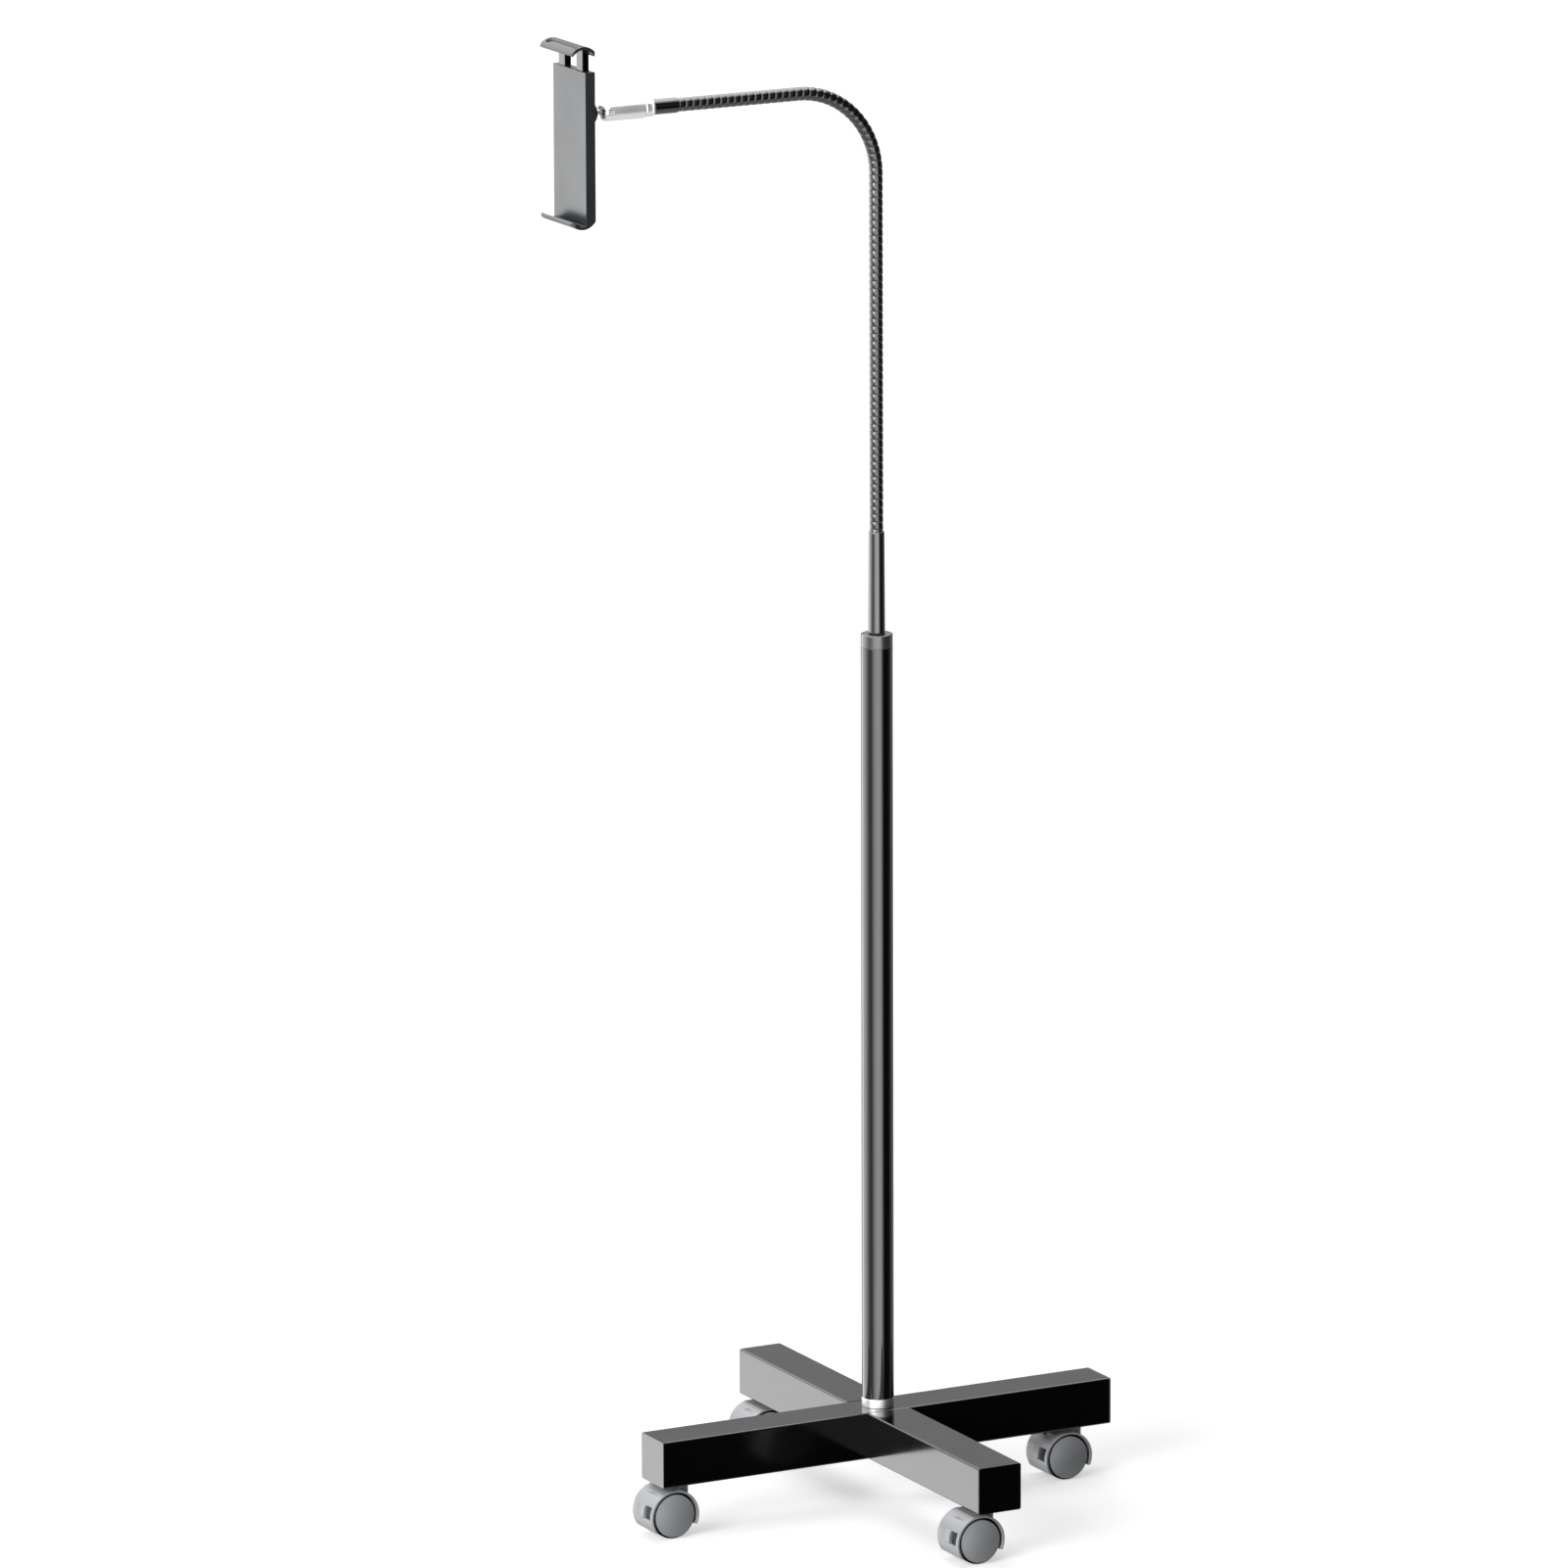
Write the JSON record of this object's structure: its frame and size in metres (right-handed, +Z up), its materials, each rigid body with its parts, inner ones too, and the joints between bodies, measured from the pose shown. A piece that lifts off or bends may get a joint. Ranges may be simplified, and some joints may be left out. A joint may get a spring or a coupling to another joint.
{
  "type": "tablet floor stand",
  "caption": "Floor stand for a tablet: cross base on swivel casters, straight column, bendable ribbed neck and a spring-clamp holder on a ball joint.",
  "frame": {"origin": "on the floor, under the middle of the whole stand's bounding box; the column stands 43 mm toward +X from it", "axes": "+Z up; -X is the front, where the holder faces; +Y is to the left of a person who looks at the holder's face from -X"},
  "size_m": [0.5366, 0.45, 1.3368],
  "materials": {
    "gloss_black_paint": "gloss black powder coat on steel",
    "satin_black_paint": "satin black coating on steel",
    "dark_grey_paint": "satin dark grey coat on steel",
    "bright_chrome": "bright chrome plate on steel",
    "zinc_steel": "zinc plated steel",
    "grey_plastic": "moulded mid grey plastic",
    "wheel_plastic": "moulded dark grey plastic",
    "holder_grey_plastic": "fine grained grey plastic",
    "black_plastic": "satin black plastic",
    "grip_rubber": "soft matt rubber"
  },
  "bodies": {
    "base": {"base_tube_long": "gloss_black_paint", "base_tube_short_1": "gloss_black_paint", "base_tube_short_2": "gloss_black_paint", "arm_end_caps": "black_plastic", "hub_spigot": "bright_chrome", "hub_bolt": "zinc_steel", "hub_washer": "zinc_steel", "caster_sockets": "zinc_steel", "caster_stems": "zinc_steel", "column_tube": "gloss_black_paint", "column_collar": "dark_grey_paint"},
    "caster_1": {"caster_hood_1": "grey_plastic", "caster_axle_1": "zinc_steel"},
    "wheel_1a": {"caster_wheel_1a": "wheel_plastic"},
    "wheel_1b": {"caster_wheel_1b": "wheel_plastic"},
    "caster_2": {"caster_hood_2": "grey_plastic", "caster_axle_2": "zinc_steel"},
    "wheel_2a": {"caster_wheel_2a": "wheel_plastic"},
    "wheel_2b": {"caster_wheel_2b": "wheel_plastic"},
    "caster_3": {"caster_hood_3": "grey_plastic", "caster_axle_3": "zinc_steel"},
    "wheel_3a": {"caster_wheel_3a": "wheel_plastic"},
    "wheel_3b": {"caster_wheel_3b": "wheel_plastic"},
    "caster_4": {"caster_hood_4": "grey_plastic", "caster_axle_4": "zinc_steel"},
    "wheel_4a": {"caster_wheel_4a": "wheel_plastic"},
    "wheel_4b": {"caster_wheel_4b": "wheel_plastic"},
    "neck_01": {"lower_ferrule": "satin_black_paint", "hose_link_01": "satin_black_paint"},
    "neck_02": {"hose_link_02": "satin_black_paint"},
    "neck_03": {"hose_link_03": "satin_black_paint"},
    "neck_04": {"hose_link_04": "satin_black_paint"},
    "neck_05": {"hose_link_05": "satin_black_paint"},
    "neck_06": {"hose_link_06": "satin_black_paint"},
    "neck_07": {"hose_link_07": "satin_black_paint"},
    "neck_08": {"hose_link_08": "satin_black_paint"},
    "neck_09": {"hose_link_09": "satin_black_paint"},
    "neck_10": {"hose_link_10": "satin_black_paint"},
    "neck_11": {"hose_link_11": "satin_black_paint"},
    "neck_12": {"hose_link_12": "satin_black_paint"},
    "neck_13": {"hose_link_13": "satin_black_paint", "upper_ferrule": "satin_black_paint"},
    "lock_ring": {"lock_ring": "bright_chrome"},
    "socket": {"socket_housing": "bright_chrome"},
    "stud": {"ball_stud": "zinc_steel", "stud_nut": "zinc_steel", "stud_washer": "zinc_steel"},
    "holder": {"front_shell": "holder_grey_plastic", "rear_cover": "black_plastic", "lower_grip": "grip_rubber", "cover_screws": "zinc_steel", "jaw_springs": "zinc_steel"},
    "jaw": {"upper_jaw": "holder_grey_plastic", "upper_grip": "grip_rubber"}
  },
  "joints": [
    {"name": "caster_1_swivel", "type": "hinge", "parent": "base", "child": "caster_1", "pos_m": [-0.15472, 0, 0.048], "axis": [0, 0, 1], "continuous": true},
    {"name": "wheel_1a_roll", "type": "hinge", "parent": "caster_1", "child": "wheel_1a", "pos_m": [-0.16872, -0.012, 0.021], "axis": [0, 1, 0], "continuous": true},
    {"name": "wheel_1b_roll", "type": "hinge", "parent": "caster_1", "child": "wheel_1b", "pos_m": [-0.16872, 0.012, 0.021], "axis": [0, 1, 0], "continuous": true},
    {"name": "caster_2_swivel", "type": "hinge", "parent": "base", "child": "caster_2", "pos_m": [0.04328, -0.198, 0.048], "axis": [0, 0, 1], "continuous": true},
    {"name": "wheel_2a_roll", "type": "hinge", "parent": "caster_2", "child": "wheel_2a", "pos_m": [0.02928, -0.21, 0.021], "axis": [0, 1, 0], "continuous": true},
    {"name": "wheel_2b_roll", "type": "hinge", "parent": "caster_2", "child": "wheel_2b", "pos_m": [0.02928, -0.186, 0.021], "axis": [0, 1, 0], "continuous": true},
    {"name": "caster_3_swivel", "type": "hinge", "parent": "base", "child": "caster_3", "pos_m": [0.24128, 0, 0.048], "axis": [0, 0, 1], "continuous": true},
    {"name": "wheel_3a_roll", "type": "hinge", "parent": "caster_3", "child": "wheel_3a", "pos_m": [0.22728, -0.012, 0.021], "axis": [0, 1, 0], "continuous": true},
    {"name": "wheel_3b_roll", "type": "hinge", "parent": "caster_3", "child": "wheel_3b", "pos_m": [0.22728, 0.012, 0.021], "axis": [0, 1, 0], "continuous": true},
    {"name": "caster_4_swivel", "type": "hinge", "parent": "base", "child": "caster_4", "pos_m": [0.04328, 0.198, 0.048], "axis": [0, 0, 1], "continuous": true},
    {"name": "wheel_4a_roll", "type": "hinge", "parent": "caster_4", "child": "wheel_4a", "pos_m": [0.02928, 0.186, 0.021], "axis": [0, 1, 0], "continuous": true},
    {"name": "wheel_4b_roll", "type": "hinge", "parent": "caster_4", "child": "wheel_4b", "pos_m": [0.02928, 0.21, 0.021], "axis": [0, 1, 0], "continuous": true},
    {"name": "neck_turn", "type": "hinge", "parent": "base", "child": "neck_01", "pos_m": [0.04328, 0, 0.79], "axis": [0, 0, 1], "continuous": true},
    {"name": "neck_low_bend_1", "type": "hinge", "parent": "neck_01", "child": "neck_02", "pos_m": [0.04328, 0, 0.92769], "axis": [0, -1, 0], "range_deg": [-14, 12]},
    {"name": "neck_low_bend_2", "type": "hinge", "parent": "neck_02", "child": "neck_03", "pos_m": [0.04328, 0, 1.00774], "axis": [0, -1, 0], "range_deg": [-14, 12]},
    {"name": "neck_low_bend_3", "type": "hinge", "parent": "neck_03", "child": "neck_04", "pos_m": [0.04328, 0, 1.08778], "axis": [0, -1, 0], "range_deg": [-14, 12]},
    {"name": "neck_low_bend_4", "type": "hinge", "parent": "neck_04", "child": "neck_05", "pos_m": [0.04328, 0, 1.16783], "axis": [0, -1, 0], "range_deg": [-14, 12]},
    {"name": "neck_top_bend_1", "type": "hinge", "parent": "neck_05", "child": "neck_06", "pos_m": [0.04328, 0, 1.20785], "axis": [0, -1, 0], "range_deg": [-15, 6]},
    {"name": "neck_top_bend_2", "type": "hinge", "parent": "neck_06", "child": "neck_07", "pos_m": [0.0381, 0, 1.22718], "axis": [0, -1, 0], "range_deg": [-15, 6]},
    {"name": "neck_top_bend_3", "type": "hinge", "parent": "neck_07", "child": "neck_08", "pos_m": [0.0281, 0, 1.24451], "axis": [0, -1, 0], "range_deg": [-15, 6]},
    {"name": "neck_top_bend_4", "type": "hinge", "parent": "neck_08", "child": "neck_09", "pos_m": [0.01395, 0, 1.25866], "axis": [0, -1, 0], "range_deg": [-15, 6]},
    {"name": "neck_top_bend_5", "type": "hinge", "parent": "neck_09", "child": "neck_10", "pos_m": [-0.00338, 0, 1.26866], "axis": [0, -1, 0], "range_deg": [-15, 6]},
    {"name": "neck_top_bend_6", "type": "hinge", "parent": "neck_10", "child": "neck_11", "pos_m": [-0.02271, 0, 1.27384], "axis": [0, -1, 0], "range_deg": [-15, 6]},
    {"name": "neck_end_bend_1", "type": "hinge", "parent": "neck_11", "child": "neck_12", "pos_m": [-0.06273, 0, 1.27384], "axis": [0, -1, 0], "range_deg": [-12, 10]},
    {"name": "neck_end_bend_2", "type": "hinge", "parent": "neck_12", "child": "neck_13", "pos_m": [-0.10943, 0, 1.27384], "axis": [0, -1, 0], "range_deg": [-12, 10]},
    {"name": "lock_ring_turn", "type": "hinge", "parent": "neck_13", "child": "lock_ring", "pos_m": [-0.17928, 0, 1.27384], "axis": [-1, 0, 0], "continuous": true},
    {"name": "socket_turn", "type": "hinge", "parent": "neck_13", "child": "socket", "pos_m": [-0.18978, 0, 1.27384], "axis": [-1, 0, 0], "continuous": true},
    {"name": "ball_tilt", "type": "hinge", "parent": "socket", "child": "stud", "pos_m": [-0.21818, 0, 1.27384], "axis": [0, 0, 1], "range_deg": [-20, 80]},
    {"name": "holder_spin", "type": "hinge", "parent": "stud", "child": "holder", "pos_m": [-0.24478, 0, 1.27384], "axis": [-1, 0, 0], "continuous": true},
    {"name": "upper_jaw_slide", "type": "slide", "parent": "holder", "child": "jaw", "axis": [0, 0, 1], "range_m": [0, 0.075], "stiffness_N_per_m": 170, "springref_m": -0.07, "deforming": ["jaw_springs"]}
  ],
  "couplings": [
    {"joint": "neck_low_bend_2", "follows": "neck_low_bend_1", "ratio": 1},
    {"joint": "neck_low_bend_3", "follows": "neck_low_bend_1", "ratio": 1},
    {"joint": "neck_low_bend_4", "follows": "neck_low_bend_1", "ratio": 1},
    {"joint": "neck_top_bend_2", "follows": "neck_top_bend_1", "ratio": 1},
    {"joint": "neck_top_bend_3", "follows": "neck_top_bend_1", "ratio": 1},
    {"joint": "neck_top_bend_4", "follows": "neck_top_bend_1", "ratio": 1},
    {"joint": "neck_top_bend_5", "follows": "neck_top_bend_1", "ratio": 1},
    {"joint": "neck_top_bend_6", "follows": "neck_top_bend_1", "ratio": 1},
    {"joint": "neck_end_bend_2", "follows": "neck_end_bend_1", "ratio": 1}
  ]
}
